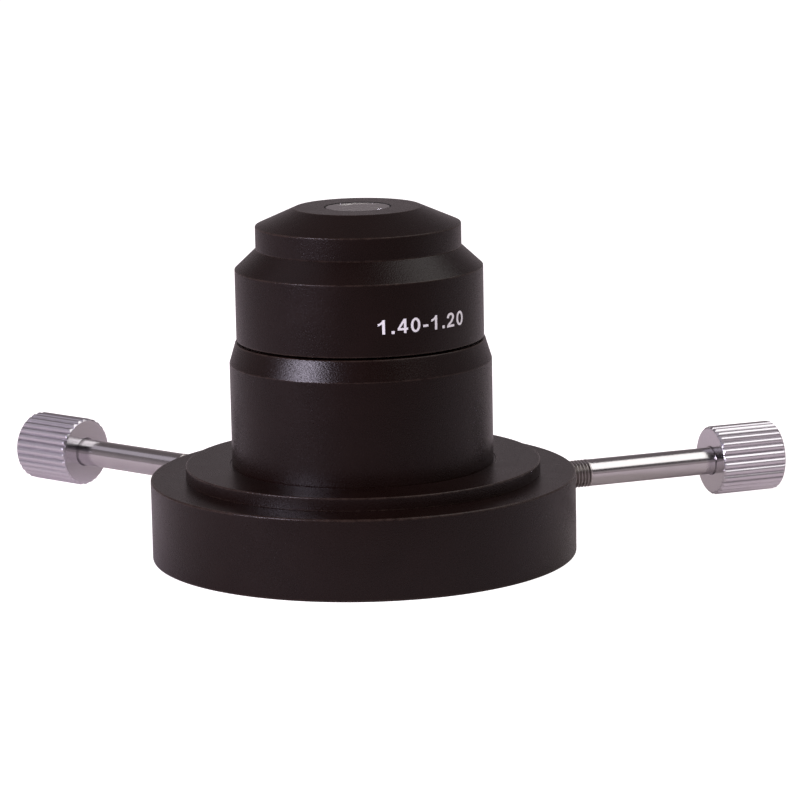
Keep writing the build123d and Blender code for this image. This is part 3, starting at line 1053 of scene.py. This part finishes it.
def polished_glass():
    """Optical glass with a faint film of old oil on it."""
    filmed = (0.42, 0.43, 0.43, 1)
    clean = (0.52, 0.53, 0.52, 1)
    film_size = 1.6
    film_depth = 0.002
    refraction = 1.52
    material, tree = new_material("optical_glass")
    place = tree.add("ShaderNodeTexCoord", out="Object")
    film = grain(tree, place, film_size, 4.0)
    colour = tree.mix(film, filmed, clean)
    roughness = 0.02 + film * 0.05
    output_shader(tree, colour, roughness, film, film_depth, IOR=refraction, Transmission_Weight=1.0)
    return material


def silvering():
    """Silver behind glass, with a few fine dark specks where it has lifted."""
    bright = (0.86, 0.85, 0.82, 1)
    bare = (0.10, 0.09, 0.08, 1)
    speck_size = 0.5
    speck_depth = 0.001
    material, tree = new_material("silvering")
    place = tree.add("ShaderNodeTexCoord", out="Object")
    specks = grain(tree, place, speck_size, 3.0)
    lifted = (specks * 9 - 6.1).clamped()
    colour = tree.mix(lifted, bright, bare)
    output_shader(tree, colour, 0.06 + lifted * 0.4, specks, speck_depth, Metallic=1.0)
    return material


def make_glass(name, profile, silvered, node):
    """A turned glass element, a mirror on the faces where silvered(radius, height) holds."""
    piece = turned(name, outline(profile, closed=False), closed=False, steps=144)
    finish_piece(piece, "optical_head", "optical_glass", glass, node)
    piece.data.materials.append(silver)
    for face in piece.data.polygons:
        centre = face.center / mm
        if silvered(centre.xy.length, centre.z):
            face.material_index = 1


def on_curved_side(radius, height):
    return side_foot[1] < height < side_head[1] and radius > lens_top_radius - side_band


def on_dome(radius, height):
    return height > dome_base + dome_band


glass = polished_glass()
silver = silvering()
side_band = 0.2
dome_band = 0.02
rim_edge = 0.08
top_edge = 0.07
dome_points = 12
dome_bulge = mirror_rise * 0.2404
hollow_top = glass_low.z + mirror_rise
hollow = arc_through((mirror_radius, glass_low.z), (0, hollow_top), dome_bulge, dome_points)
front_profile = [
    (0, hollow_top, 0),
    *plain_corners(reversed(hollow[1:-1])),
    (mirror_radius, glass_low.z, 0),
    (lens_rim_radius, glass_low.z, rim_edge),
    *plain_corners(arc_through(side_foot, side_head, side_bulge, side_points)),
    (lens_top_radius, glass_high.z, top_edge),
    (0, glass_high.z, 0),
]
make_glass("front_lens_polished", front_profile, on_curved_side, "front_lens")
mirror_low, mirror_high = box_mm("mirror_lens")
dome_base = mirror_low.z + mirror_height
dome_rise = mirror_high.z - dome_base
dome_sphere = (mirror_radius**2 + mirror_rise**2) / (2 * mirror_rise) - cement
dome_foot = (2 * dome_sphere * dome_rise - dome_rise**2) ** 0.5
dome = arc_through((dome_foot, dome_base), (0, mirror_high.z), dome_bulge, dome_points)
mirror_profile = [
    (0, mirror_low.z, 0),
    (lens_rim_radius, mirror_low.z, rim_edge),
    (lens_rim_radius, dome_base, rim_edge),
    *plain_corners(dome[:-1]),
    (0, mirror_high.z, 0),
]
make_glass("mirror_lens_polished", mirror_profile, on_dome, "mirror_lens")
dress("centre_stop", blacking)
dress("lens_retainer", anodised)

# Centring screws: polished steel, a dog point that carries the thrust pad, a fine M4
# thread, and a plain shank of nearly the same size that goes into the knob. The turned
# blank is threaded by a tree.
thread_start = 21.15
thread_finish = 34.6
knob_start = 54.4
shank_radius = 1.96
shank_in_knob = 6.0
thread_radius = 2.0
thread_pitch = 0.5


def round_axis(tree):
    """Each point as x, y and z, its angle in turns, and its distance from the axis."""
    spot = tree.add("GeometryNodeInputPosition")
    x, y, z = (tree.add("ShaderNodeSeparateXYZ", None, {"Vector": spot}, out=axis) for axis in "XYZ")
    across = tree.add("ShaderNodeCombineXYZ", None, {"X": x, "Y": y})
    return (x, y, z), x.math("ARCTAN2", y, x) / (2 * pi), tree.length(across)


def carve(tree, blank, place, scale, groove, material):
    """Draws points in towards the axis, marks the groove, and ends the tree."""
    x, y, z = place
    moved = tree.add("ShaderNodeCombineXYZ", None, {"X": x * scale, "Y": y * scale, "Z": z})
    shaped = tree.add("GeometryNodeSetPosition", None, {"Geometry": blank, "Position": moved})
    settings = {"data_type": "FLOAT", "domain": "POINT"}
    sockets = {"Geometry": shaped, "Name": "groove", "Value": groove}
    end_tree(tree, tree.add("GeometryNodeStoreNamedAttribute", settings, sockets), material)


def cut_thread():
    """A geometry tree that cuts a helical groove in a turned blank about Z."""
    crest = 0.12
    flank_slope = 1.35
    inputs = {"Start": "Float", "Finish": "Float", "Pitch": "Float", "Depth": "Float"}
    inputs["Material"] = "Material"
    tree, sockets = geometry_tree("cut_thread", inputs)
    blank, start, finish, pitch, depth, material = sockets
    place, turn, radius = round_axis(tree)
    along = (place[2] - start) / pitch
    helix = along - turn + 1
    flank = 1 - abs(helix.math("FRACT", helix) * 2 - 1)
    groove = ((flank - crest) * flank_slope).clamped()
    fade = along.clamped() * ((finish - place[2]) / pitch).clamped()
    deep = radius.math("GREATER_THAN", radius, depth * 2)
    scale = 1 - groove * fade * depth * deep / radius.math("MAXIMUM", radius, depth)
    marked = groove * fade.math("GREATER_THAN", fade, 0.0)
    carve(tree, blank, place, scale, marked, material)
    return tree.tree


def polished_steel():
    """Ground and polished steel, duller in the thread, with painted shade darkening its groove."""
    stained = (0.56, 0.545, 0.55, 1)
    polished = (0.64, 0.625, 0.63, 1)
    crest_grey = (0.62, 0.59, 0.58, 1)
    painted_groove_shade = (0.30, 0.27, 0.26, 1)
    stain_size = 3.0
    line_depth = 0.003
    material, tree = new_material("polished_steel")
    along, groove, threaded = (read_mark(tree, name) for name in ("along", "groove", "threaded"))
    place = tree.add("ShaderNodeTexCoord", out="Object")
    lines = rings_along(tree, along, 14.0, 3.0)
    stains = grain(tree, place, stain_size, 4.0)
    bright = tree.mix(stains, stained, polished)
    # Painted shade: the thread's groove is coloured darker than its crests.
    colour = tree.mix(threaded, bright, tree.mix(groove, crest_grey, painted_groove_shade))
    roughness = 0.12 + lines * 0.06 + threaded * 0.16 + stains * 0.03
    output_shader(tree, colour, roughness, lines, line_depth, Metallic=1.0)
    return material


def rings_along(tree, along, per_mm, detail):
    """Noise that changes only along the outline, so that it makes rings."""
    sockets = {"W": along, "Scale": per_mm, "Detail": detail}
    return tree.add("ShaderNodeTexNoise", {"noise_dimensions": "1D"}, sockets)


def mark_points(mesh, name, numbers):
    """Gives each point of a mesh a number of that name."""
    mesh.attributes.new(name, "FLOAT", "POINT").data.foreach_set("value", numbers)


def make_screw(side):
    dog_radius = 0.8
    dog_length = 1.2
    dog_edge = 0.1
    point_edge = 0.3
    corner = 0.05
    shoulder = 0.04
    shoulder_edge = 0.03
    root_depth = 0.26
    rows_per_turn = 12
    dog_start = thread_start - dog_length
    socket = knob_start + shank_in_knob
    rows = outline(
        [
            (0, dog_start, 0),
            (dog_radius, dog_start, dog_edge),
            (dog_radius, thread_start, corner),
            (thread_radius, thread_start, point_edge),
            (thread_radius, thread_finish, 0.0),
        ],
        closed=False,
    )
    point_end = thread_start + point_edge + corner
    point = [row for row in rows if row[0] < thread_radius - 1e-6 or row[1] < point_end]
    start, start_length = point[-1][1], point[-1][3]
    step = thread_pitch / rows_per_turn
    risen = [step * k for k in range(1, int((thread_finish - start) / step))]
    thread = [(thread_radius, start + rise, 0.0, start_length + rise) for rise in risen]
    shank = outline(
        [
            (thread_radius, thread[-1][1] + step, 0),
            (thread_radius, thread_finish, shoulder_edge),
            (shank_radius, thread_finish + shoulder, shoulder_edge),
            (shank_radius, socket, dog_edge),
            (0, socket, 0),
        ],
        closed=False,
    )
    so_far = thread[-1][3] + step
    shank = [(radius, height, wear_and_highlight, length + so_far) for radius, height, wear_and_highlight, length in shank]
    name = "centring_screw_" + side
    screw = turned(name + "_threaded", point + thread + shank, closed=False, steps=64)
    cutter = screw.modifiers.new("cut_thread", "NODES")
    cutter.node_group = thread_tree
    set_inputs(cutter, Start=thread_start * mm, Finish=thread_finish * mm)
    set_inputs(cutter, Pitch=thread_pitch * mm, Depth=root_depth * mm, Material=steel)
    make_plain(screw)
    heights = [vert.co.z / mm for vert in screw.data.vertices]
    inside = [1.0 if thread_start < z < thread_finish + 0.02 else 0.0 for z in heights]
    mark_points(screw.data, "threaded", inside)
    shade_smooth(screw.data, radians(60))
    screw.data.transform(along_screw(side))
    finish_piece(screw, "screw_" + side, "polished_steel", steel, name)


thread_tree = cut_thread()
steel = polished_steel()
for side in screw_turn:
    make_screw(side)

# Knobs: bright aluminium, turned with mirror-like faces and pressed on the shanks. Straight
# flutes are cut all round by a tree, with a round ridge left between each two.
knob_radius = 5.03
knob_length = 10.0
flute_count = 28
flute_depth = 0.35


def cut_flutes():
    """A geometry tree that cuts straight flutes along a turned blank about Z."""
    inputs = {"Count": "Float", "Radius": "Float", "Depth": "Float", "Material": "Material"}
    tree, sockets = geometry_tree("cut_flutes", inputs)
    blank, count, radius, depth, material = sockets
    place, turn, here = round_axis(tree)
    share = turn * count
    off_centre = abs(share - share.math("ROUND", share)) * 2
    groove = off_centre * off_centre
    limit = radius - depth * groove
    scale = here.math("MINIMUM", here, limit) / here.math("MAXIMUM", here, 1e-6)
    marked = groove * here.math("GREATER_THAN", here, radius - depth)
    carve(tree, blank, place, scale, marked, material)
    return tree.tree


def bright_aluminium():
    """Turned and fluted aluminium: fine rings on the faces, draw lines in the flutes, and painted shade darkening
    the bottoms of the flutes.
    """
    dull = (0.66, 0.64, 0.68, 1)
    clean = (0.76, 0.74, 0.78, 1)
    painted_flute_shade = (0.30, 0.28, 0.30, 1)
    mark_size = 0.35
    mark_depth = 0.004
    material, tree = new_material("bright_aluminium")
    along, groove, fluted = (read_mark(tree, name) for name in ("along", "groove", "fluted"))
    place = tree.add("ShaderNodeTexCoord", out="Object")
    rings = rings_along(tree, along, 9.0, 4.0)
    marks = grain(tree, place, mark_size, 3.0)
    bright = tree.mix(marks, dull, clean)
    # Painted shade: the flutes are coloured darker towards their bottoms.
    colour = tree.mix((groove * groove * fluted * 0.5).clamped(), bright, painted_flute_shade)
    roughness = 0.13 + fluted * 0.13 + marks * 0.06
    relief = rings * (1 - fluted) + marks * fluted
    output_shader(tree, colour, roughness, relief, mark_depth, Metallic=1.0)
    return material


def make_knob(side):
    edge = 0.3
    face_edge = 0.1
    rim_edge = 0.12
    corner = 0.05
    mouth = 0.2
    press_fit = 0.02
    steps_per_flute = 14
    bore = shank_radius + press_fit
    bore_end = knob_start + shank_in_knob + press_fit
    finish = knob_start + knob_length
    profile = [
        (0, bore_end, 0),
        (bore, bore_end, corner),
        (bore, knob_start + mouth, corner),
        (bore + mouth, knob_start, rim_edge),
        (knob_radius - edge, knob_start, face_edge),
        (knob_radius, knob_start + edge, rim_edge),
        (knob_radius, finish - edge, rim_edge),
        (knob_radius - edge, finish, face_edge),
        (0, finish, 0),
    ]
    rows = outline(profile, closed=False)
    knob = turned("knob_" + side + "_fluted", rows, closed=False, steps=flute_count * steps_per_flute)
    cutter = knob.modifiers.new("cut_flutes", "NODES")
    cutter.node_group = flute_tree
    set_inputs(cutter, Count=float(flute_count), Radius=knob_radius * mm)
    set_inputs(cutter, Depth=flute_depth * mm, Material=aluminium)
    make_plain(knob)
    flute_floor = (knob_radius - flute_depth - 0.06) * mm
    fluted = [1.0 if vert.co.xy.length > flute_floor else 0.0 for vert in knob.data.vertices]
    mark_points(knob.data, "fluted", fluted)
    knob.data.transform(along_screw(side))
    finish_piece(knob, "screw_" + side, "knob_aluminium", aluminium, "knob_" + side)


flute_tree = cut_flutes()
aluminium = bright_aluminium()
for side in screw_turn:
    make_knob(side)
